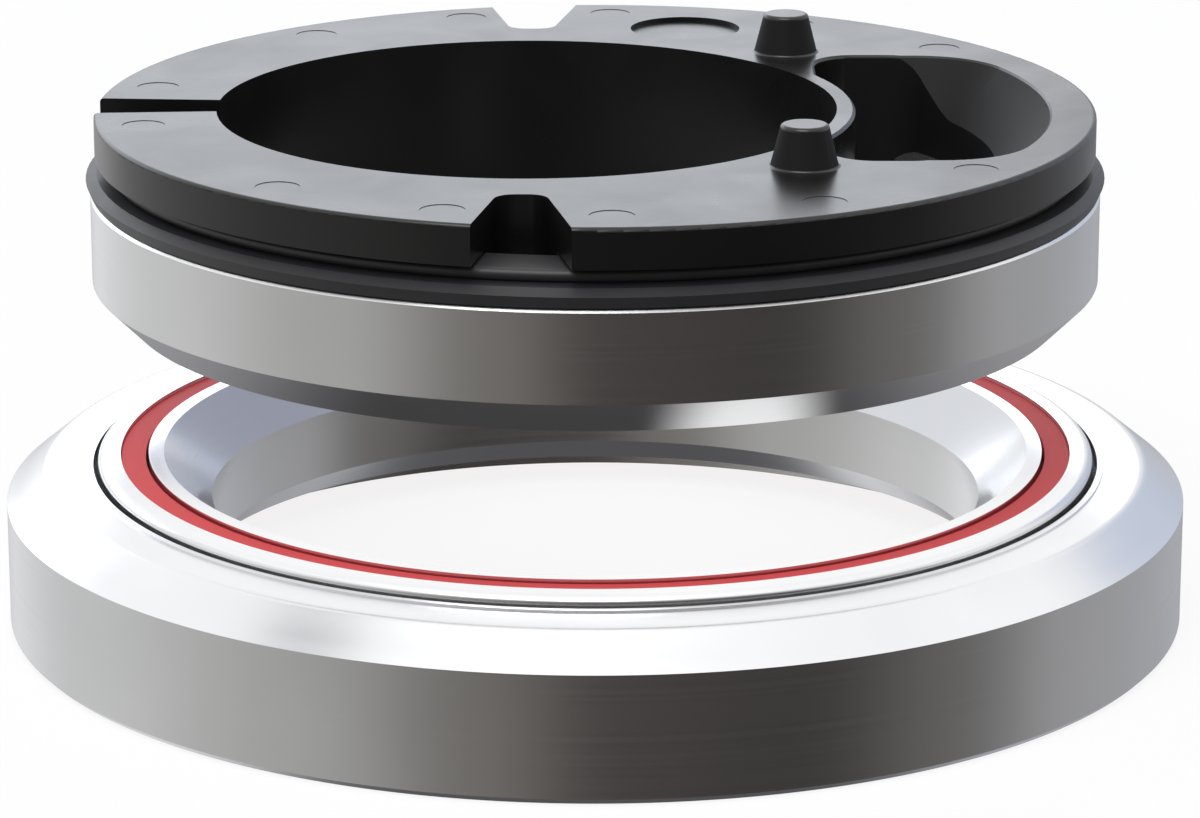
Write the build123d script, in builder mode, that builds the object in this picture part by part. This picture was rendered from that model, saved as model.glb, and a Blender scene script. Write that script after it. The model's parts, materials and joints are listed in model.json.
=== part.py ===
"""Bicycle headset with an off-centre steerer bore and a cable port.

The upper group is a split plastic compression ring with its rubber dust seal
and a sealed ball bearing. The lower group is a second sealed ball bearing in
an adapter cup. Both groups share the steering axis, which is the Z axis.
Sizes are in millimetres, and the cup's bottom face lies at Z = 0.
"""
import math
import os

from build123d import *

os.makedirs("parts", exist_ok=True)

# Driving sizes of both bearings
bearing_section = 5.9
ball_diameter = 2.5
ball_count = 16
seal_thickness = 0.55
seal_recess = 0.19
seal_ledge_width = 0.2
seal_lip_gap = 0.16
cage_thickness = 0.5
cage_margin = 0.45

# Clearances
running_clearance = 0.06
seat_clearance = 0.04
pocket_clearance = 0.1

# Lower bearing
lower_bearing_height = 7.3
lower_race_wall = 1.2
lower_seal_gap = 1.45
lower_rim_width = 0.8
lower_bore_chamfer = 1.3
lower_edge_round = 0.45
lower_base_chamfer = 0.4

# Adapter cup round the lower bearing
cup_wall = 4.75
cup_floor = 1.5
cup_floor_ledge = 0.9
cup_cone_width = 2.1
cup_cone_height = 1.7
cup_cone_round = 0.8
cup_base_chamfer = 0.3
cup_mouth_step = 0.09
cup_mouth_width = 0.55
cup_lead_in_width = 0.2
cup_lead_in_depth = 0.8
race_stands_proud = 0.6

# Upper bearing
group_gap = 7.7
upper_bearing_height = 6.4
upper_race_wall = 2.5
upper_seal_gap = 1.2
upper_rim_width = 0.4
upper_bore_chamfer = 0.6
upper_seat_chamfer = 1.77
upper_top_chamfer = 0.15

# Compression ring
plate_inset = 0.28
plate_thickness = 2.05
plate_edge_round = 0.2
neck_height = 1.55
flange_clearance = 0.3
skirt_depth = 4.6
skirt_thin_wall = 0.6
steerer_bore = 31.9

# Split, notches, pegs and marks of the compression ring
slit_inner_width = 2.5
slit_outer_width = 3.65
notch_mouth_width = 4.9
notch_floor_width = 2.3
notch_floor_wall = 3.15
notch_floor_round = 1.0
notch_depth = 3.1
peg_bore_wall = 3.13
peg_angle = 43.8
peg_base_diameter = 3.4
peg_top_diameter = 2.35
peg_height = 2.1
peg_base_fillet = 0.15
peg_top_round = 0.2
recess_inset = 5.87
recess_angle = 75.6
recess_diameter = 6.0
recess_depth = 0.25
mark_inset = 2.42
mark_diameter = 2.2
mark_depth = 0.025
mark_angles = (37, 62, 88, 108, 131, 169)

# Cable port of the compression ring, between the steerer bore and the skirt
port_wall = 0.95
port_wall_half_angle = 26.0
port_depth = 6.67
port_past_skirt = 0.6
port_end_angle = 35.9
port_corner_round = 2.2
port_tip_round = 1.0
port_edge_bevel = 0.15
port_rim = 2.27
mouth_corner_round = 4.8

# Rubber dust seal
lip_overhang = 0.2
lip_edge_height = 0.6
lip_crown_inset = 0.55
lip_crown_height = 0.92
lip_foot_inset = 0.25
lip_root_height = 1.0
seal_groove_inset = 0.97
seal_bead_radius = 0.32
seal_bead_height = 1.3
seal_body_height = 1.6

# Sizes, heights and places that follow from those above
skirt_diameter = steerer_bore + skirt_thin_wall + port_wall + port_depth
bearing_bore = skirt_diameter + 2 * seat_clearance
bearing_od = bearing_bore + 2 * bearing_section
bore_radius = bearing_bore / 2
lower_outer_land = bearing_od - 2 * lower_race_wall
lower_inner_land = lower_outer_land - 2 * lower_seal_gap
lower_cone_diameter = lower_inner_land - 2 * lower_rim_width
upper_outer_land = bearing_od - 2 * upper_race_wall
upper_inner_land = upper_outer_land - 2 * upper_seal_gap
upper_cone_diameter = upper_inner_land - 2 * upper_rim_width
lower_base = cup_floor
lower_top = lower_base + lower_bearing_height
upper_base = lower_top + group_gap
upper_top = upper_base + upper_bearing_height
flange_z = upper_top + flange_clearance
plate_base = flange_z + neck_height
plate_top = plate_base + plate_thickness
plate_radius = bearing_od / 2 - plate_inset
skirt_base = upper_top - skirt_depth
skirt_radius = skirt_diameter / 2
ring_height = plate_top - skirt_base
cone_foot_z = upper_top - (upper_cone_diameter / 2 - bore_radius)
neck_radius = skirt_radius + flange_z - cone_foot_z
steerer_x = -(skirt_radius - skirt_thin_wall - steerer_bore / 2)


def ball_path(outer_land, inner_land, base, height):
    """Radius and height of the circle that the ball centres lie on."""
    return (outer_land + inner_land) / 4, base + height / 2


def outer_race_face(land, base, height):
    """Half section of a plain outer race, as radius and height, with seal ledges."""
    top = base + height
    ledge = seal_recess + seal_thickness
    land_radius = land / 2
    with BuildSketch() as face:
        with BuildLine():
            Polyline(
                (bearing_od / 2, base),
                (bearing_od / 2, top),
                (land_radius, top),
                (land_radius, top - ledge),
                (land_radius - seal_ledge_width, top - ledge),
                (land_radius - seal_ledge_width, base + ledge),
                (land_radius, base + ledge),
                (land_radius, base),
                close=True,
            )
        make_face()
    return face.sketch


def inner_race_face(land, cone_diameter, bore_chamfer, base, height):
    """Half section of an inner race, as radius and height, with its contact cone."""
    top = base + height
    cone_depth = cone_diameter / 2 - bore_radius
    with BuildSketch() as face:
        with BuildLine():
            Polyline(
                (land / 2, base),
                (land / 2, top),
                (cone_diameter / 2, top),
                (bore_radius, top - cone_depth),
                (bore_radius, base + bore_chamfer),
                (bore_radius + bore_chamfer, base),
                close=True,
            )
        make_face()
    return face.sketch


def ball_groove(path):
    """Section of the ball track that is cut out of both races."""
    with BuildSketch() as groove:
        with Locations(path):
            Circle(ball_diameter / 2 + running_clearance)
    return groove.sketch


def ring_of_balls(path):
    """All the balls of one bearing, evenly spaced on their path."""
    path_radius, path_z = path
    with BuildPart() as balls:
        with Locations((0, 0, path_z)):
            with PolarLocations(path_radius, ball_count):
                Sphere(ball_diameter / 2)
    return balls.part


def ball_cage(path):
    """Thin band between the races with one round pocket for each ball."""
    path_radius, path_z = path
    pocket_radius = ball_diameter / 2 + pocket_clearance
    cage_height = 2 * (pocket_radius + cage_margin)
    with BuildPart() as cage:
        with Locations((0, 0, path_z)):
            Cylinder(path_radius + cage_thickness / 2, cage_height)
            Cylinder(path_radius - cage_thickness / 2, cage_height, mode=Mode.SUBTRACT)
            with PolarLocations(path_radius, ball_count):
                Cylinder(pocket_radius, ball_diameter, rotation=(0, 90, 0), mode=Mode.SUBTRACT)
    return cage.part


def seal_disc(outer_land, inner_land, base):
    """Flat seal that sits on a ledge of the outer race and clears the inner one."""
    with BuildPart() as seal:
        with BuildSketch(Plane.XY.offset(base)):
            Circle(outer_land / 2 - seat_clearance)
            Circle(inner_land / 2 + seal_lip_gap, mode=Mode.SUBTRACT)
        extrude(amount=seal_thickness)
    return seal.part


# Lower bearing: its outer race stands a little proud of the cup
lower_path = ball_path(lower_outer_land, lower_inner_land, lower_base, lower_bearing_height)

with BuildPart() as lower_outer_race:
    with BuildSketch(Plane.XZ) as lower_outer_section:
        add(outer_race_face(lower_outer_land, lower_base, lower_bearing_height))
        rim = lower_outer_section.vertices().sort_by_distance((bearing_od / 2, lower_top))[0]
        fillet(rim, lower_edge_round)
        foot = lower_outer_section.vertices().sort_by_distance((bearing_od / 2, lower_base))[0]
        chamfer(foot, lower_base_chamfer)
        add(ball_groove(lower_path), mode=Mode.SUBTRACT)
    revolve(axis=Axis.Z)
lower_outer_race.part.label = "lower_outer_race"
export_step(lower_outer_race.part, "parts/lower_outer_race.step")

with BuildPart() as lower_inner_race:
    with BuildSketch(Plane.XZ):
        add(
            inner_race_face(
                lower_inner_land,
                lower_cone_diameter,
                lower_bore_chamfer,
                lower_base,
                lower_bearing_height,
            )
        )
        add(ball_groove(lower_path), mode=Mode.SUBTRACT)
    revolve(axis=Axis.Z)
lower_inner_race.part.label = "lower_inner_race"
export_step(lower_inner_race.part, "parts/lower_inner_race.step")

with BuildPart() as lower_balls:
    add(ring_of_balls(lower_path))
lower_balls.part.label = "lower_balls"
export_step(lower_balls.part, "parts/lower_balls.step")

with BuildPart() as lower_ball_cage:
    add(ball_cage(lower_path))
lower_ball_cage.part.label = "lower_ball_cage"
export_step(lower_ball_cage.part, "parts/lower_ball_cage.step")

with BuildPart() as lower_top_seal:
    add(seal_disc(lower_outer_land, lower_inner_land, lower_top - seal_recess - seal_thickness))
lower_top_seal.part.label = "lower_top_seal"
export_step(lower_top_seal.part, "parts/lower_top_seal.step")

with BuildPart() as lower_bottom_seal:
    add(seal_disc(lower_outer_land, lower_inner_land, lower_base + seal_recess))
lower_bottom_seal.part.label = "lower_bottom_seal"
export_step(lower_bottom_seal.part, "parts/lower_bottom_seal.step")

# Adapter cup: a turned ring with a floor that the lower bearing stands on and a
# wider mouth that leads the bearing in
cup_radius = bearing_od / 2 + cup_wall
cup_bore_radius = bearing_od / 2 + seat_clearance
cup_floor_radius = bearing_od / 2 - cup_floor_ledge
cup_mouth_radius = bearing_od / 2 + cup_mouth_width
cup_lead_in_radius = cup_bore_radius + cup_lead_in_width
cup_cone_radius = cup_radius - cup_cone_width
cup_top = lower_top - race_stands_proud
with BuildPart() as lower_cup:
    with BuildSketch(Plane.XZ) as cup_section:
        with BuildLine():
            Polyline(
                (cup_floor_radius, 0),
                (cup_radius - cup_base_chamfer, 0),
                (cup_radius, cup_base_chamfer),
                (cup_radius, cup_top - cup_cone_height),
                (cup_cone_radius, cup_top),
                (cup_mouth_radius, cup_top),
                (cup_mouth_radius, cup_top + cup_mouth_step),
                (cup_lead_in_radius, cup_top + cup_mouth_step),
                (cup_lead_in_radius, cup_top - cup_lead_in_depth),
                (cup_bore_radius, cup_top - cup_lead_in_depth),
                (cup_bore_radius, cup_floor),
                (cup_floor_radius, cup_floor),
                close=True,
            )
        make_face()
        cone_edge = cup_section.vertices().sort_by_distance((cup_cone_radius, cup_top))[0]
        fillet(cone_edge, cup_cone_round)
    revolve(axis=Axis.Z)
lower_cup.part.label = "lower_cup"
export_step(lower_cup.part, "parts/lower_cup.step")

# Upper bearing: its 45 degree chamfer sits in the top of the head tube
upper_path = ball_path(upper_outer_land, upper_inner_land, upper_base, upper_bearing_height)

with BuildPart() as upper_outer_race:
    with BuildSketch(Plane.XZ) as upper_outer_section:
        add(outer_race_face(upper_outer_land, upper_base, upper_bearing_height))
        foot = upper_outer_section.vertices().sort_by_distance((bearing_od / 2, upper_base))[0]
        chamfer(foot, upper_seat_chamfer)
        rim = upper_outer_section.vertices().sort_by_distance((bearing_od / 2, upper_top))[0]
        chamfer(rim, upper_top_chamfer)
        add(ball_groove(upper_path), mode=Mode.SUBTRACT)
    revolve(axis=Axis.Z)
upper_outer_race.part.label = "upper_outer_race"
export_step(upper_outer_race.part, "parts/upper_outer_race.step")

with BuildPart() as upper_inner_race:
    with BuildSketch(Plane.XZ):
        add(
            inner_race_face(
                upper_inner_land,
                upper_cone_diameter,
                upper_bore_chamfer,
                upper_base,
                upper_bearing_height,
            )
        )
        add(ball_groove(upper_path), mode=Mode.SUBTRACT)
    revolve(axis=Axis.Z)
upper_inner_race.part.label = "upper_inner_race"
export_step(upper_inner_race.part, "parts/upper_inner_race.step")

with BuildPart() as upper_balls:
    add(ring_of_balls(upper_path))
upper_balls.part.label = "upper_balls"
export_step(upper_balls.part, "parts/upper_balls.step")

with BuildPart() as upper_ball_cage:
    add(ball_cage(upper_path))
upper_ball_cage.part.label = "upper_ball_cage"
export_step(upper_ball_cage.part, "parts/upper_ball_cage.step")

with BuildPart() as upper_top_seal:
    add(seal_disc(upper_outer_land, upper_inner_land, upper_top - seal_recess - seal_thickness))
upper_top_seal.part.label = "upper_top_seal"
export_step(upper_top_seal.part, "parts/upper_top_seal.step")

with BuildPart() as upper_bottom_seal:
    add(seal_disc(upper_outer_land, upper_inner_land, upper_base + seal_recess))
upper_bottom_seal.part.label = "upper_bottom_seal"
export_step(upper_bottom_seal.part, "parts/upper_bottom_seal.step")

# Dust seal: a rubber ring on the neck, with a bead and an overhanging lip
seal_foot_z = upper_top + running_clearance
seal_bore_radius = neck_radius + seat_clearance
seal_groove_radius = plate_radius - seal_groove_inset
lip_radius = bearing_od / 2 + lip_overhang
with BuildPart() as dust_seal:
    with BuildSketch(Plane.XZ):
        with BuildLine():
            Polyline(
                (seal_bore_radius, seal_foot_z),
                (lip_radius - lip_foot_inset, seal_foot_z),
                (lip_radius, seal_foot_z + lip_edge_height),
                (lip_radius - lip_crown_inset, seal_foot_z + lip_crown_height),
                (seal_groove_radius, seal_foot_z + lip_root_height),
                (seal_groove_radius, seal_foot_z + seal_body_height),
                (seal_bore_radius, seal_foot_z + seal_body_height),
                close=True,
            )
        make_face()
        with Locations((seal_groove_radius, seal_foot_z + seal_bead_height)):
            Circle(seal_bead_radius)
    revolve(axis=Axis.Z)
dust_seal.part.label = "dust_seal"
export_step(dust_seal.part, "parts/dust_seal.step")


# Cable port: a kidney-shaped slot beside the steerer bore, under a scooped mouth.
# It reaches past the skirt, so the hoses below it run along the bearing's bore.
port_wall_radius = steerer_bore / 2 + port_wall
port_end_x = steerer_x + port_wall_radius * math.cos(math.radians(port_wall_half_angle))
slot_reach = skirt_radius + port_past_skirt
port_half_width = slot_reach * math.sin(math.radians(port_end_angle))
mouth_reach = plate_radius - port_rim
mouth_start_x = steerer_x + port_wall_radius

with BuildSketch() as port_outline:
    Circle(slot_reach)
    with Locations((steerer_x, 0)):
        Circle(port_wall_radius, mode=Mode.SUBTRACT)
    with Locations((port_end_x, 0)):
        Rectangle(
            plate_radius,
            2 * port_half_width,
            align=(Align.MIN, Align.CENTER),
            mode=Mode.INTERSECT,
        )
    fillet(port_outline.vertices().group_by(Axis.Y)[0], port_corner_round)
    fillet(port_outline.vertices().group_by(Axis.Y)[-1], port_corner_round)
    fillet(port_outline.vertices().group_by(Axis.X)[0].sort_by(Axis.Y)[1:-1], port_tip_round)

# The mouth is wider than the slot, and its scoop slopes down to the slot's wall
with BuildSketch() as mouth_outline:
    Circle(mouth_reach)
    with Locations((mouth_start_x, 0)):
        Rectangle(
            plate_radius,
            2 * port_half_width,
            align=(Align.MIN, Align.CENTER),
            mode=Mode.INTERSECT,
        )
    fillet(mouth_outline.vertices().group_by(Axis.X)[-1], mouth_corner_round)

# Compression ring: plate, neck, contact cone and skirt in one moulding
with BuildPart() as compression_ring:
    with BuildSketch(Plane.XZ) as ring_section:
        with BuildLine():
            Polyline(
                (0, skirt_base),
                (skirt_radius, skirt_base),
                (skirt_radius, cone_foot_z),
                (neck_radius, flange_z),
                (neck_radius, plate_base),
                (plate_radius, plate_base),
                (plate_radius, plate_top),
                (0, plate_top),
                close=True,
            )
        make_face()
        rim = ring_section.vertices().sort_by_distance((plate_radius, plate_top))[0]
        fillet(rim, plate_edge_round)
    revolve(axis=Axis.Z)

    # Steerer bore, off the steering axis
    with BuildSketch(Plane.XY.offset(skirt_base)):
        with Locations((steerer_x, 0)):
            Circle(steerer_bore / 2)
    extrude(amount=ring_height, mode=Mode.SUBTRACT)

    # Cable port, with its edge beside the bore bevelled at the top
    with BuildSketch(Plane.XY.offset(skirt_base)):
        add(port_outline.sketch)
    extrude(amount=ring_height, mode=Mode.SUBTRACT)
    with BuildSketch(Plane.XY.offset(plate_top - port_edge_bevel)):
        add(port_outline.sketch)
    extrude(amount=port_edge_bevel, taper=-45, mode=Mode.SUBTRACT)
    with BuildSketch(Plane.XY.offset(plate_top)):
        add(mouth_outline.sketch)
    extrude(amount=slot_reach - mouth_reach, taper=45, mode=Mode.SUBTRACT)

    # Split on the side away from the port, wider towards the rim
    slit_start_x = steerer_x - steerer_bore / 2 + slit_inner_width / 2
    slit_end_x = -plate_radius - slit_outer_width / 2
    with BuildSketch(Plane.XY.offset(skirt_base)):
        with BuildLine():
            Polyline(
                (slit_start_x, -slit_inner_width / 2),
                (slit_start_x, slit_inner_width / 2),
                (slit_end_x, slit_outer_width / 2),
                (slit_end_x, -slit_outer_width / 2),
                close=True,
            )
        make_face()
    extrude(amount=ring_height, mode=Mode.SUBTRACT)

    # Two flared notches in the rim, in line with the steerer bore
    notch_floor_y = steerer_bore / 2 + notch_floor_wall
    with BuildSketch(Plane.XY.offset(plate_top)) as notch_section:
        with BuildLine():
            Polyline(
                (steerer_x - notch_floor_width / 2, notch_floor_y),
                (steerer_x + notch_floor_width / 2, notch_floor_y),
                (steerer_x + notch_mouth_width / 2, plate_radius),
                (steerer_x - notch_mouth_width / 2, plate_radius),
                close=True,
            )
        make_face()
        fillet(notch_section.vertices().group_by(Axis.Y)[0], notch_floor_round)
        mirror(about=Plane.XZ)
    extrude(amount=-notch_depth, mode=Mode.SUBTRACT)

    # Two tapered pegs, placed round the steerer bore
    with Locations((steerer_x, 0, plate_top)):
        for turn in (-peg_angle, peg_angle):
            with PolarLocations(steerer_bore / 2 + peg_bore_wall, 1, start_angle=turn):
                Cone(
                    peg_base_diameter / 2,
                    peg_top_diameter / 2,
                    peg_height,
                    align=(Align.CENTER, Align.CENTER, Align.MIN),
                )
    fillet(compression_ring.edges().group_by(Axis.Z)[-1], peg_top_round)
    peg_sides = compression_ring.faces().filter_by(GeomType.CONE).group_by(Axis.Z)[-1]
    peg_feet = peg_sides.edges().filter_by(GeomType.CIRCLE).group_by(Axis.Z)[0]
    fillet(peg_feet, peg_base_fillet)

    # Shallow round recess in the plate
    with Locations((0, 0, plate_top)):
        with PolarLocations(plate_radius - recess_inset, 1, start_angle=recess_angle):
            Cylinder(recess_diameter / 2, 2 * recess_depth, mode=Mode.SUBTRACT)

    # Faint round moulding marks along the rim
    with Locations((0, 0, plate_top)):
        for mark_angle in mark_angles:
            for turn in (mark_angle, -mark_angle):
                with PolarLocations(plate_radius - mark_inset, 1, start_angle=turn):
                    Cylinder(mark_diameter / 2, 2 * mark_depth, mode=Mode.SUBTRACT)
compression_ring.part.label = "compression_ring"
export_step(compression_ring.part, "parts/compression_ring.step")
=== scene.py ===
# %% [markdown]
# # A bicycle headset
# A headset lets a bicycle's fork turn inside the frame. This one has a sealed
# bearing for the top of the head tube, clamped from above by a black split
# ring, and a second sealed bearing for the bottom in a steel adapter cup.
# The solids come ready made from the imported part, so this lesson is about
# giving each of them its finish, about turning the steel rings once more as on
# a lathe, and about lighting steel so that it looks like steel.

# %% Load the frame
import json
import math

import bmesh
import bpy
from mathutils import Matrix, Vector

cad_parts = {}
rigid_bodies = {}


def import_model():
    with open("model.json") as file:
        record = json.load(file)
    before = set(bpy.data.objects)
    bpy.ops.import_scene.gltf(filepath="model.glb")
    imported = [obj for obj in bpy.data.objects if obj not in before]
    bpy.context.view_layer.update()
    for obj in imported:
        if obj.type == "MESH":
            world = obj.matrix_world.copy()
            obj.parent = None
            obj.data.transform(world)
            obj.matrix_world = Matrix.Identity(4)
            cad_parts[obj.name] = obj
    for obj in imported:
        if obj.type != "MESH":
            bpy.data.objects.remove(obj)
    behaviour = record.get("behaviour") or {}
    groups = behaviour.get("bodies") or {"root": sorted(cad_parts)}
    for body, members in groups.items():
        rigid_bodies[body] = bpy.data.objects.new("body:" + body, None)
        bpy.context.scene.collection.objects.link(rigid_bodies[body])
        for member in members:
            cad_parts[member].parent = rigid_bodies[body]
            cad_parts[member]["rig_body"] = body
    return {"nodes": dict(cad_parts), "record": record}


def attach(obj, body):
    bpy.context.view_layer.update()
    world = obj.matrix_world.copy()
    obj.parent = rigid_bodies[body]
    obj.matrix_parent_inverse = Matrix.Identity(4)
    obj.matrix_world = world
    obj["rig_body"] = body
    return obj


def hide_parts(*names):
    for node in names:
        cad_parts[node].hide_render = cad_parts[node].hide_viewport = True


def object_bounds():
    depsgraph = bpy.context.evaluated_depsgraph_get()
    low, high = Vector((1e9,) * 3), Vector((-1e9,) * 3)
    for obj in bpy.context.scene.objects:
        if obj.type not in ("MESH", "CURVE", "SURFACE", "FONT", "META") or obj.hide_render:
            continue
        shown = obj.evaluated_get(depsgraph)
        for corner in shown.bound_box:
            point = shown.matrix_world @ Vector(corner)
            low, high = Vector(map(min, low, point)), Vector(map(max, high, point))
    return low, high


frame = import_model()
cad_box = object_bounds()
print("nodes:", sorted(frame["nodes"]))

# %% [markdown]
# ## Two helpers
# Colours are written as the hex values a paint program shows. Blender wants
# linear light, so one function turns the one into the other. Shader trees are
# long lists of nodes, so a second function adds any node at once with its
# settings and with whatever feeds its sockets.

# %% Colours and nodes
MM = 0.001


def to_linear(hex_colour):
    channels = [int(hex_colour[i : i + 2], 16) / 255 for i in (1, 3, 5)]
    linear = [c / 12.92 if c <= 0.04045 else ((c + 0.055) / 1.055) ** 2.4 for c in channels]
    return (*linear, 1.0)


def add_node(tree, kind, feeds=None, **settings):
    made = tree.nodes.new(kind)
    for name, value in settings.items():
        setattr(made, name, value)
    for socket, value in (feeds or {}).items():
        if isinstance(value, bpy.types.NodeSocket):
            tree.links.new(value, made.inputs[socket])
        else:
            made.inputs[socket].default_value = value
    return made


print("a mid grey of #808080 is", round(to_linear("#808080")[0], 3), "in linear light")

# %% [markdown]
# ## Starting a finish
# Every finish below begins the same way: an empty tree, one Principled shader,
# and the Object coordinates, which on these pieces are real metres in the
# part's own frame. A texture's scale can therefore be worked out from a size
# in millimetres: one over that size, in metres.

# %% A bare finish
finishes = {}


def empty_tree(owner):
    owner.use_nodes = True
    owner.node_tree.nodes.clear()
    return owner.node_tree


def start_finish(slot, name):
    finishes[slot] = bpy.data.materials.new(name)
    tree = empty_tree(finishes[slot])
    shader = add_node(tree, "ShaderNodeBsdfPrincipled")
    add_node(tree, "ShaderNodeOutputMaterial", {"Surface": shader.outputs["BSDF"]})
    place = add_node(tree, "ShaderNodeTexCoord").outputs["Object"]
    return tree, shader, place


def per_mm(size_mm):
    return 1 / (size_mm * MM)


print("a grain of 0.2 mm needs a scale of", round(per_mm(0.2)))

# %% [markdown]
# ## Turned steel
# The races and the cup are cut on a lathe and then ground. The tool leaves
# rings that run round the axis, far too fine to see one by one, and they
# spread each reflection a little. On a wall the rings lie above each other,
# and on a flat face they lie inside each other. So the pattern is a noise with
# one coordinate only, the height plus a share of the distance from the axis,
# which changes from ring to ring on every turned face and never round it.

# %% Lathe coordinate
radius_share = 0.6


def from_axis(tree, place):
    split = add_node(tree, "ShaderNodeSeparateXYZ", {"Vector": place}).outputs
    flat = add_node(tree, "ShaderNodeCombineXYZ", {"X": split["X"], "Y": split["Y"]})
    radius = add_node(tree, "ShaderNodeVectorMath", {0: flat.outputs["Vector"]}, operation="LENGTH")
    return split["X"], split["Z"], radius.outputs["Value"]


def lathe_place(tree, place):
    _, height, radius = from_axis(tree, place)
    return add_node(
        tree, "ShaderNodeMath", {0: radius, 1: radius_share, 2: height}, operation="MULTIPLY_ADD"
    ).outputs["Value"]


print("one step outwards counts as", radius_share, "of a step up")

# %% [markdown]
# The same noise drives the roughness and a very shallow bump, so that the
# rings are felt in a highlight more than seen. Broad, faint clouds in the
# colour keep a large face from looking painted.

# %% Race and cup steel
groove_depth = 0.02 * MM
cloud_mm = 9


def turned_steel(slot, name, dark, pale, smooth, dull, ring_mm):
    tree, shader, place = start_finish(slot, name)
    rings = add_node(
        tree,
        "ShaderNodeTexNoise",
        {"W": lathe_place(tree, place), "Scale": per_mm(ring_mm), "Detail": 2.0, "Roughness": 0.5},
        noise_dimensions="1D",
    ).outputs["Fac"]
    clouds = add_node(
        tree, "ShaderNodeTexNoise", {"Vector": place, "Scale": per_mm(cloud_mm), "Detail": 2.0}
    ).outputs["Fac"]
    tone = add_node(
        tree,
        "ShaderNodeMix",
        {"Factor": clouds, "A": to_linear(dark), "B": to_linear(pale)},
        data_type="RGBA",
    )
    gloss = add_node(
        tree,
        "ShaderNodeMapRange",
        {"Value": rings, "From Min": 0.3, "From Max": 0.7, "To Min": smooth, "To Max": dull},
    )
    grooves = add_node(
        tree, "ShaderNodeBump", {"Height": rings, "Strength": 0.01, "Distance": groove_depth}
    )
    tree.links.new(tone.outputs["Result"], shader.inputs["Base Color"])
    tree.links.new(gloss.outputs["Result"], shader.inputs["Roughness"])
    tree.links.new(grooves.outputs["Normal"], shader.inputs["Normal"])
    shader.inputs["Metallic"].default_value = 1.0


# Ground bearing steel: a soft mirror with pale streaks that follow the turning.
# Real feed marks are about 0.05 mm apart; they are drawn at 0.25 mm to show.
turned_steel(
    "race_steel", "bearing_steel_ground", "#dfe0e1", "#ececed", smooth=0.2, dull=0.24, ring_mm=0.25
)

# Turned cup steel: the same metal left satin, so its reflections are softer.
# Its feed marks are a little wider, and are drawn at 0.3 mm to show.
turned_steel(
    "cup_steel", "cup_steel_satin_turned", "#dcdddf", "#ebebec", smooth=0.22, dull=0.26, ring_mm=0.3
)
print("turned finishes:", sorted(finishes))

# %% [markdown]
# ## Polished balls
# Bearing balls are lapped to a mirror. Almost nothing shows on them but what
# they reflect, apart from a trace of haze where the lapping was not perfect.

# %% Ball steel
# Lapped bearing steel: a clear mirror, softened a little by haze of 0.6 mm.
tree, shader, place = start_finish("ball_steel", "ball_steel_lapped")
haze = add_node(tree, "ShaderNodeTexNoise", {"Vector": place, "Scale": per_mm(0.6), "Detail": 4.0})
gloss = add_node(
    tree, "ShaderNodeMapRange", {"Value": haze.outputs["Fac"], "To Min": 0.04, "To Max": 0.12}
)
tree.links.new(gloss.outputs["Result"], shader.inputs["Roughness"])
shader.inputs["Base Color"].default_value = to_linear("#e9e9ea")
shader.inputs["Metallic"].default_value = 1.0
print("ball steel is", finishes["ball_steel"].name)

# %% [markdown]
# ## Moulded plastic
# The compression ring is injection moulded in black glass-filled nylon. Its
# mould was spark eroded, which leaves a fine even grain, and the plastic
# itself is a touch glossier where it flowed faster. The grain scatters light
# at a low angle, so the black top looks grey against a bright background.
# The scooped mouth of the cable port and the sides of the pegs stay black in
# the same light, so they are taken as rougher: a mask of their places in the
# ring, cut out by height and by distance from the axis, makes them duller.

# %% Where the ring is dull
# The pegs are the highest point of the part, so its box gives their tops.
peg_height = 2.1 * MM
peg_top = cad_box[1][2]
plate_top = peg_top - peg_height
mouth_start = 13.4 * MM
mouth_reach = 23.6 * MM
edge_margin = 0.1 * MM


def dull_mask(tree, place):
    across, height, radius = from_axis(tree, place)
    spans = [
        (across, mouth_start, mouth_reach),
        (radius, 0, mouth_reach),
        (height, 0, plate_top - edge_margin),
        (height, plate_top + edge_margin, peg_top - 2 * edge_margin),
    ]
    # Compare gives 1 where a value is no further than half a span from its middle.
    port, in_reach, under_top, peg_sides = [
        add_node(
            tree,
            "ShaderNodeMath",
            {0: value, 1: (low + high) / 2, 2: (high - low) / 2},
            operation="COMPARE",
        ).outputs["Value"]
        for value, low, high in spans
    ]
    for limit in (in_reach, under_top):
        both = add_node(tree, "ShaderNodeMath", {0: port, 1: limit}, operation="MULTIPLY")
        port = both.outputs["Value"]
    dull = add_node(tree, "ShaderNodeMath", {0: port, 1: peg_sides}, operation="MAXIMUM")
    return dull.outputs["Value"]


print("the plate's top is at", round(plate_top / MM, 2), "mm")

# %% [markdown]
# The mask then chooses between two surfaces of one plastic: the plate's satin
# one, and a rough one that gives back less of the light.

# %% Ring plastic
# Glass-filled nylon, moulded: black, with a grain that turns grey at low angles.
# Spark grain is near 0.05 mm; it is drawn at 0.16 mm so that it shows.
grain_mm = 0.16
flow_mm = 5
pit_depth = 0.03 * MM
tree, shader, place = start_finish("ring_plastic", "nylon_black_spark_grain")
grain = add_node(
    tree,
    "ShaderNodeTexNoise",
    {"Vector": place, "Scale": per_mm(grain_mm), "Detail": 2.0, "Roughness": 0.55},
).outputs["Fac"]
flow = add_node(
    tree,
    "ShaderNodeTexNoise",
    {"Vector": place, "Scale": per_mm(flow_mm), "Detail": 3.0, "Distortion": 0.6},
).outputs["Fac"]
tone = add_node(
    tree,
    "ShaderNodeMix",
    {"Factor": flow, "A": to_linear("#0b0b0c"), "B": to_linear("#111112")},
    data_type="RGBA",
)
gloss = add_node(
    tree,
    "ShaderNodeMapRange",
    {"Value": flow, "From Min": 0.3, "From Max": 0.7, "To Min": 0.27, "To Max": 0.32},
)
dull = dull_mask(tree, place)
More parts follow.
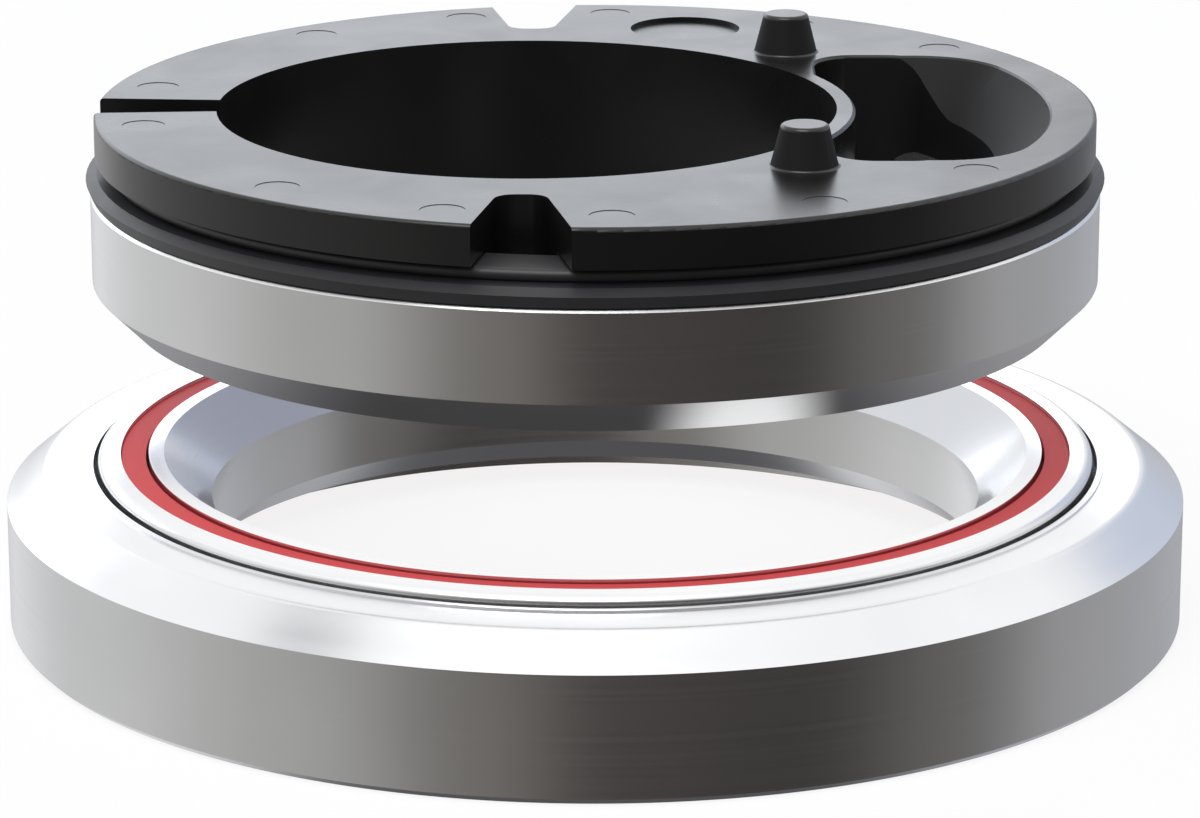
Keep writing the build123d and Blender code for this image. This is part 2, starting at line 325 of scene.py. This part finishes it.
rough = add_node(tree, "ShaderNodeMix", {"Factor": dull, "A": gloss.outputs["Result"], "B": 0.62})
shine = add_node(tree, "ShaderNodeMix", {"Factor": dull, "A": 0.5, "B": 0.2})
pits = add_node(tree, "ShaderNodeBump", {"Height": grain, "Strength": 0.12, "Distance": pit_depth})
tree.links.new(tone.outputs["Result"], shader.inputs["Base Color"])
tree.links.new(rough.outputs["Result"], shader.inputs["Roughness"])
tree.links.new(shine.outputs["Result"], shader.inputs["Specular IOR Level"])
tree.links.new(pits.outputs["Normal"], shader.inputs["Normal"])
shader.inputs["IOR"].default_value = 1.53
print("ring plastic is", finishes["ring_plastic"].name)

# %% [markdown]
# ## Rubber
# The dust seal is soft black rubber, duller than the ring above it. The
# bearing seals are a red rubber, moulded flat. Both have a faint bloom, a
# cloudy paleness that comes to the surface of rubber as it ages.

# %% Black and red rubber
# A mould's grain is near 0.05 mm; it is drawn at 0.2 mm so that it shows.
skin_mm = 0.2
bloom_mm = 3
bloom_spread = 0.06


def moulded_rubber(slot, name, deep, bloomed, dull, shine):
    tree, shader, place = start_finish(slot, name)
    bloom = add_node(
        tree, "ShaderNodeTexNoise", {"Vector": place, "Scale": per_mm(bloom_mm), "Detail": 4.0}
    ).outputs["Fac"]
    grain = add_node(
        tree, "ShaderNodeTexNoise", {"Vector": place, "Scale": per_mm(skin_mm), "Detail": 2.0}
    ).outputs["Fac"]
    tone = add_node(
        tree,
        "ShaderNodeMix",
        {"Factor": bloom, "A": to_linear(deep), "B": to_linear(bloomed)},
        data_type="RGBA",
    )
    gloss = add_node(
        tree,
        "ShaderNodeMapRange",
        {"Value": bloom, "To Min": dull - bloom_spread, "To Max": dull + bloom_spread},
    )
    skin = add_node(tree, "ShaderNodeBump", {"Height": grain, "Strength": 0.1, "Distance": pit_depth})
    tree.links.new(tone.outputs["Result"], shader.inputs["Base Color"])
    tree.links.new(gloss.outputs["Result"], shader.inputs["Roughness"])
    tree.links.new(skin.outputs["Normal"], shader.inputs["Normal"])
    shader.inputs["IOR"].default_value = 1.52
    shader.inputs["Specular IOR Level"].default_value = shine


# Nitrile seal rubber: nearly black, with a soft sheen along the lip.
moulded_rubber("seal_black_rubber", "nitrile_rubber_black", "#1b1b1d", "#262629", dull=0.46, shine=0.5)
# Red seal rubber: a flat, strong red. Its skin is dull, so it shines less.
moulded_rubber("seal_red_rubber", "nitrile_rubber_red", "#d2393e", "#dc4a4e", dull=0.55, shine=0.2)
print("rubber finishes:", [finishes[s].name for s in ("seal_black_rubber", "seal_red_rubber")])

# %% [markdown]
# ## The ball cages
# Hidden between the races, a band of natural nylon keeps the balls apart. It
# has the creamy look of unfilled plastic with a faint mottle.

# %% Cage plastic
# Natural nylon, moulded: creamy and half dull, with a soft mottle of 1.2 mm.
tree, shader, place = start_finish("cage_plastic", "nylon_natural_moulded")
mottle = add_node(tree, "ShaderNodeTexNoise", {"Vector": place, "Scale": per_mm(1.2), "Detail": 3.0})
tone = add_node(
    tree,
    "ShaderNodeMix",
    {"Factor": mottle.outputs["Fac"], "A": to_linear("#c4b795"), "B": to_linear("#d6cbae")},
    data_type="RGBA",
)
gloss = add_node(
    tree, "ShaderNodeMapRange", {"Value": mottle.outputs["Fac"], "To Min": 0.38, "To Max": 0.5}
)
tree.links.new(tone.outputs["Result"], shader.inputs["Base Color"])
tree.links.new(gloss.outputs["Result"], shader.inputs["Roughness"])
print("cage plastic is", finishes["cage_plastic"].name)

# %% [markdown]
# ## Dressing the pieces
# The record says which finish each piece takes. The solids keep their shape
# here: only the material in their slot changes.

# %% Give each node its finish
finish_of = {piece["node"]: piece["material_slot"] for piece in frame["record"]["subparts"]}
for node, finish in finish_of.items():
    frame["nodes"][node].material_slots[0].material = finishes[finish]
    print(node, "->", finishes[finish].name)

# %% [markdown]
# ## The steel rings, turned again
# The races and the cup are mirrors, and a mirror shows every flaw of its mesh.
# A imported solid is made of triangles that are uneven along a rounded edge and
# don't share their shading across the seam where the turning began, so a
# highlight breaks into dashes there. Smoothing would change the shape. Instead
# each ring is made once more as on a lathe: a cut through the axis gives the
# half section of a copy, and one full spin of it makes the ring, in even steps
# with no seam. Points that only lie on a straight line are dissolved first.

# %% Half sections
merge_gap = 0.001 * MM
straight_within = math.radians(1)
steel_rings = [node for node, finish in finish_of.items() if finish in ("race_steel", "cup_steel")]


def half_section(node):
    shape = bmesh.new()
    shape.from_mesh(frame["nodes"][node].data)
    bmesh.ops.remove_doubles(shape, verts=shape.verts, dist=merge_gap)
    cut = bmesh.ops.bisect_plane(
        shape,
        geom=shape.verts[:] + shape.edges[:] + shape.faces[:],
        dist=merge_gap,
        plane_no=(0, 1, 0),
    )["geom_cut"]
    # The seam lies on the +X side, where every point of the section is on the cut.
    kept = {
        edge
        for edge in cut
        if isinstance(edge, bmesh.types.BMEdge) and all(point.co.x > 0 for point in edge.verts)
    }
    bmesh.ops.delete(shape, geom=shape.faces, context="FACES_ONLY")
    rest = [edge for edge in shape.edges if edge not in kept]
    bmesh.ops.delete(shape, geom=rest, context="EDGES")
    bmesh.ops.remove_doubles(shape, verts=shape.verts, dist=merge_gap)
    bmesh.ops.dissolve_limit(shape, angle_limit=straight_within, verts=shape.verts, edges=shape.edges)
    print(node, "has a section of", len(shape.verts), "points")
    return shape


sections = {node: half_section(node) for node in steel_rings}

# %% [markdown]
# The spin takes the section once round the axis and joins its ends. Edges that
# turn by more than 20 degrees stay sharp, and weighted normals keep the flat
# faces flat beside a round one. Each ring rides on its own body and stands in
# for its solid.

# %% Spin the rings
spin_steps = 288
sharp_beyond = math.radians(20)


def make_object(name, shape):
    mesh = bpy.data.meshes.new(name)
    shape.to_mesh(mesh)
    shape.free()
    made = bpy.data.objects.new(name, mesh)
    bpy.context.scene.collection.objects.link(made)
    return made


for node, shape in sections.items():
    bmesh.ops.spin(
        shape,
        geom=shape.verts[:] + shape.edges[:],
        axis=(0, 0, 1),
        angle=2 * math.pi,
        steps=spin_steps,
        use_merge=True,
    )
    bmesh.ops.recalc_face_normals(shape, faces=shape.faces)
    ring = make_object(node + "_turned", shape)
    ring.data.shade_smooth()
    ring.data.set_sharp_from_angle(angle=sharp_beyond)
    ring.data.materials.append(finishes[finish_of[node]])
    ring.modifiers.new("flat_faces_stay_flat", "WEIGHTED_NORMAL").keep_sharp = True
    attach(ring, frame["nodes"][node]["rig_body"])
    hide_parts(node)
    print(ring.name, "has", len(ring.data.polygons), "faces")

# %% [markdown]
# ## The floor
# The part lies on a plain white sheet. A sheet that is only lit can never be
# as white as paper in a catalogue, and one that only glows has no shadow, so
# the floor does a little of both. It lies a hair below the part, so that the
# two faces don't share one plane.

# %% A white floor
white = (1, 1, 1, 1)
floor_half = 2.0
floor_z = -0.02 * MM
glow_share = 0.86
shape = bmesh.new()
bmesh.ops.create_grid(shape, x_segments=1, y_segments=1, size=floor_half)
bmesh.ops.translate(shape, verts=shape.verts, vec=(0, 0, floor_z))
floor = make_object("studio_floor", shape)
floor.visible_glossy = False
floor.visible_diffuse = False
paper = bpy.data.materials.new("paper_white")
tree = empty_tree(paper)
lit = add_node(tree, "ShaderNodeBsdfDiffuse", {"Color": to_linear("#f4f4f4")})
glow = add_node(tree, "ShaderNodeEmission", {"Color": white, "Strength": 1.0})
sheet = add_node(
    tree, "ShaderNodeMixShader", {0: glow_share, 1: lit.outputs["BSDF"], 2: glow.outputs["Emission"]}
)
add_node(tree, "ShaderNodeOutputMaterial", {"Surface": sheet.outputs["Shader"]})
floor.data.materials.append(paper)
print("floor at", floor_z / MM, "mm")

# %% [markdown]
# ## The studio around it
# Polished metal has no colour of its own: it shows the room. A white room
# makes steel vanish, so photographers hang a dark card in front of it and
# leave the walls beside it pale. Here the world does that job. The camera
# sees plain white. Reflections see white walls above the horizon, with one
# cool wall far to the right, and below it a card that is darkest in front,
# pale at the sides and grey again behind. Both are ramps over the compass
# angle, which is 0 in front of the part and grows to the right.

# %% Compass
world = bpy.data.worlds.new("studio_world")
bpy.context.scene.world = world
tree = empty_tree(world)
way = add_node(tree, "ShaderNodeTexCoord").outputs["Generated"]
split = add_node(tree, "ShaderNodeSeparateXYZ", {"Vector": way}).outputs
front = add_node(tree, "ShaderNodeMath", {0: split["Y"], 1: -1.0}, operation="MULTIPLY")
turn = add_node(
    tree, "ShaderNodeMath", {0: split["X"], 1: front.outputs["Value"]}, operation="ARCTAN2"
)
compass = add_node(
    tree,
    "ShaderNodeMapRange",
    {"Value": turn.outputs["Value"], "From Min": -math.pi, "From Max": math.pi},
)
print("the compass feeds", world.name)

# %% [markdown]
# Each band is a list of stops, a compass angle in degrees with the colour that
# the room has there.

# %% Card and wall round the compass
bands = {
    "card": [
        (-180, "#9a9a9c"),
        (-156, "#ececee"),
        (-115, "#d4d4d3"),
        (-60, "#b1b1ae"),
        (-22, "#787470"),
        (2, "#45413f"),
        (42, "#3d3938"),
        (72, "#6a6866"),
        (105, "#a3a3a4"),
        (158, "#b4b5ba"),
        (180, "#9a9a9c"),
    ],
    "cool_wall": [
        (-180, "#ffffff"),
        (118, "#ffffff"),
        (136, "#d2daec"),
        (158, "#d2daec"),
        (168, "#ffffff"),
    ],
}
round_room = {}
for band, stops in bands.items():
    ramp = add_node(tree, "ShaderNodeValToRGB", {"Fac": compass.outputs["Result"]})
    while len(ramp.color_ramp.elements) < len(stops):
        ramp.color_ramp.elements.new(0.5)
    ramp.color_ramp.interpolation = "EASE"
    for stop, (degrees, colour) in zip(ramp.color_ramp.elements, stops):
        stop.position = (degrees + 180) / 360
        stop.color = to_linear(colour)
    round_room[band] = ramp.outputs["Color"]
    print(band, "has", len(stops), "stops")

# %% [markdown]
# The cool wall is low, so it fades out at half height. The ceiling above it is
# a little brighter than paper, because steel gives back less than it gets and
# the cup's cone should still come out nearly white. One small grey flag hangs
# there, on the left, and becomes the soft patch on that cone.

# %% Ceiling and flag
ceiling_white = (1.18, 1.18, 1.18, 1)
flag_way = (-0.49, 0.09, 0.86)
high = add_node(
    tree,
    "ShaderNodeMapRange",
    {"Value": split["Z"], "From Min": 0.47, "From Max": 0.6},
    interpolation_type="SMOOTHSTEP",
)
walls = add_node(
    tree,
    "ShaderNodeMix",
    {"Factor": high.outputs["Result"], "A": round_room["cool_wall"], "B": ceiling_white},
    data_type="RGBA",
)
off_flag = add_node(tree, "ShaderNodeVectorMath", {0: way, 1: flag_way}, operation="DISTANCE")
on_flag = add_node(
    tree,
    "ShaderNodeMapRange",
    {"Value": off_flag.outputs["Value"], "From Min": 0.13, "From Max": 0.06},
    interpolation_type="SMOOTHSTEP",
)
ceiling = add_node(
    tree,
    "ShaderNodeMix",
    {"Factor": on_flag.outputs["Result"], "A": walls.outputs["Result"], "B": to_linear("#b6b8bc")},
    data_type="RGBA",
)
print("the flag hangs towards", flag_way)

# %% [markdown]
# The card stands taller in front than at the sides, which keeps upright edges
# dark. Straight down lies a grey table top, which the chamfers that face it
# show.

# %% Tall card and table
front_rise = 0.52
ahead = add_node(tree, "ShaderNodeMath", {0: split["Y"], 1: 0.0}, operation="MINIMUM")
over_card = add_node(
    tree,
    "ShaderNodeMath",
    {0: ahead.outputs["Value"], 1: front_rise, 2: split["Z"]},
    operation="MULTIPLY_ADD",
)
above = add_node(
    tree,
    "ShaderNodeMapRange",
    {"Value": over_card.outputs["Value"], "From Min": -0.26, "From Max": 0.26},
    interpolation_type="SMOOTHSTEP",
)
room = add_node(
    tree,
    "ShaderNodeMix",
    {"Factor": above.outputs["Result"], "A": round_room["card"], "B": ceiling.outputs["Result"]},
    data_type="RGBA",
)
down = add_node(
    tree,
    "ShaderNodeMapRange",
    {"Value": split["Z"], "From Min": -0.7, "From Max": -0.85},
    interpolation_type="SMOOTHSTEP",
)
surround = add_node(
    tree,
    "ShaderNodeMix",
    {"Factor": down.outputs["Result"], "A": room.outputs["Result"], "B": to_linear("#58585a")},
    data_type="RGBA",
)
print("the room has a tall card in front and a grey table below")

# %% [markdown]
# The light path then sorts the rays: the camera gets white, mirrors and glass
# get the room, and everything matt is lit by a plain even grey.

# %% Sorting the rays
ray = add_node(tree, "ShaderNodeLightPath").outputs
mirrored = add_node(
    tree,
    "ShaderNodeMath",
    {0: ray["Is Glossy Ray"], 1: ray["Is Transmission Ray"]},
    operation="MAXIMUM",
)
seen = add_node(
    tree,
    "ShaderNodeMix",
    {"Factor": mirrored.outputs["Value"], "A": to_linear("#dcdcde"), "B": surround.outputs["Result"]},
    data_type="RGBA",
)
shown = add_node(
    tree,
    "ShaderNodeMix",
    {"Factor": ray["Is Camera Ray"], "A": seen.outputs["Result"], "B": white},
    data_type="RGBA",
)
backdrop = add_node(tree, "ShaderNodeBackground", {"Color": shown.outputs["Result"], "Strength": 1.0})
add_node(tree, "ShaderNodeOutputWorld", {"Surface": backdrop.outputs["Background"]})
print("world is", world.name)

# %% [markdown]
# ## A card between the two groups
# The upper bearing hangs just above the lower one, and two mirrors that face
# each other only show each other. A round card held between them, out of the
# camera's sight, gives the upper bearing's chamfer something dark to show and
# the faces below it something pale. It is a thin disc, dark on top and pale
# underneath, and only reflections can see it.

# %% Reflection card
card_radius = 27 * MM
card_z = 12.6 * MM
shape = bmesh.new()
bmesh.ops.create_circle(shape, cap_ends=True, segments=64, radius=card_radius)
bmesh.ops.translate(shape, verts=shape.verts, vec=(0, 0, card_z))
gap_card = make_object("reflection_card", shape)
gap_card.visible_camera = False
gap_card.visible_diffuse = False
gap_card.visible_transmission = False
gap_card.visible_shadow = False
print("card has", len(gap_card.data.polygons), "face")

# %% [markdown]
# The card's dark top fades to a paler grey at both sides. A white patch on it
# becomes the glint on the upper bearing's chamfer.

# %% Top of the card
glint_place = (8 * MM, -21 * MM, card_z)
card_paper = bpy.data.materials.new("card_dark_over_pale")
tree = empty_tree(card_paper)
place = add_node(tree, "ShaderNodeTexCoord").outputs["Object"]
split = add_node(tree, "ShaderNodeSeparateXYZ", {"Vector": place}).outputs
aside = add_node(tree, "ShaderNodeMath", {0: split["X"]}, operation="ABSOLUTE")
fade = add_node(
    tree,
    "ShaderNodeMapRange",
    {"Value": aside.outputs["Value"], "From Min": 11 * MM, "From Max": 26 * MM},
    interpolation_type="SMOOTHSTEP",
)
greys = add_node(
    tree,
    "ShaderNodeMix",
    {"Factor": fade.outputs["Result"], "A": to_linear("#464546"), "B": to_linear("#9c9c9f")},
    data_type="RGBA",
)
off_glint = add_node(tree, "ShaderNodeVectorMath", {0: place, 1: glint_place}, operation="DISTANCE")
on_glint = add_node(
    tree,
    "ShaderNodeMapRange",
    {"Value": off_glint.outputs["Value"], "From Min": 6 * MM, "From Max": 1.5 * MM},
    interpolation_type="SMOOTHSTEP",
)
top_side = add_node(
    tree,
    "ShaderNodeMix",
    {"Factor": on_glint.outputs["Result"], "A": greys.outputs["Result"], "B": white},
    data_type="RGBA",
)
print("the glint's patch is at", glint_place)

# %% [markdown]
# Underneath, the card is white in front, for the flat faces of the lower
# bearing, and grey behind, cooler on the left, for the cone of its inner race.

# %% Underside of the card
under_white = (1.15, 1.15, 1.15, 1)
rightward = add_node(
    tree,
    "ShaderNodeMapRange",
    {"Value": split["X"], "From Min": -6 * MM, "From Max": 6 * MM},
    interpolation_type="SMOOTHSTEP",
)
far_greys = add_node(
    tree,
    "ShaderNodeMix",
    {"Factor": rightward.outputs["Result"], "A": to_linear("#a2a6b6"), "B": to_linear("#eceef2")},
    data_type="RGBA",
)
rearward = add_node(
    tree,
    "ShaderNodeMapRange",
    {"Value": split["Y"], "From Min": 2 * MM, "From Max": 9 * MM},
    interpolation_type="SMOOTHSTEP",
)
under_side = add_node(
    tree,
    "ShaderNodeMix",
    {"Factor": rearward.outputs["Result"], "A": under_white, "B": far_greys.outputs["Result"]},
    data_type="RGBA",
)
from_below = add_node(tree, "ShaderNodeNewGeometry").outputs["Backfacing"]
both_sides = add_node(
    tree,
    "ShaderNodeMix",
    {"Factor": from_below, "A": top_side.outputs["Result"], "B": under_side.outputs["Result"]},
    data_type="RGBA",
)
glow = add_node(tree, "ShaderNodeEmission", {"Color": both_sides.outputs["Result"], "Strength": 1.0})
add_node(tree, "ShaderNodeOutputMaterial", {"Surface": glow.outputs["Emission"]})
gap_card.data.materials.append(card_paper)
print("card has the finish", card_paper.name)

# %% [markdown]
# ## Lamps
# Two soft boxes are enough. One hangs low behind the part, so that every flat
# top catches it at a glancing angle. The other is above the camera and
# lights the colours. Both point at the middle of the part.

# %% Soft boxes
lamp_target = Vector((0, 0, 15 * MM))


def soft_box(name, place, wide, tall, watts, colour):
    lamp = bpy.data.lights.new(name, "AREA")
    lamp.shape = "RECTANGLE"
    lamp.size = wide
    lamp.size_y = tall
    lamp.energy = watts
    lamp.color = to_linear(colour)[:3]
    box = bpy.data.objects.new(name, lamp)
    bpy.context.scene.collection.objects.link(box)
    box.location = place
    box.rotation_euler = (lamp_target - Vector(place)).to_track_quat("-Z", "Y").to_euler()
    box.visible_camera = False
    print(name, "at", place, "with", watts, "W")


soft_box("soft_box_behind", (-0.36, 0.7, 0.28), wide=1.1, tall=0.3, watts=1.4, colour="#eaf2ff")
soft_box("soft_box_above", (-0.12, -0.42, 0.62), wide=0.5, tall=0.4, watts=2.6, colour="#ffffff")

# %% [markdown]
# ## The camera
# A long lens from a low angle keeps the rings' ellipses true. The distance,
# height and focal length were worked out from the rings' outlines, and the
# camera stands a quarter of a millimetre to the right, as the picture does.

# %% Camera
camera_target = Vector((0.25 * MM, 0, 10.53 * MM))
camera_distance = 265.1 * MM
camera_lift = math.radians(16.242)
camera_data = bpy.data.cameras.new("catalogue_camera")
camera_data.sensor_width = 36.0
camera_data.lens = 151.83
camera_data.clip_start = 0.01
camera = bpy.data.objects.new("catalogue_camera", camera_data)
bpy.context.scene.collection.objects.link(camera)
back_and_up = Vector((0, -math.cos(camera_lift), math.sin(camera_lift)))
camera.location = camera_target + camera_distance * back_and_up
camera.rotation_euler = (camera_target - camera.location).to_track_quat("-Z", "Y").to_euler()
bpy.context.scene.camera = camera
bpy.context.scene.view_settings.view_transform = "Standard"
print("camera at", [round(v / MM, 2) for v in camera.location], "mm")
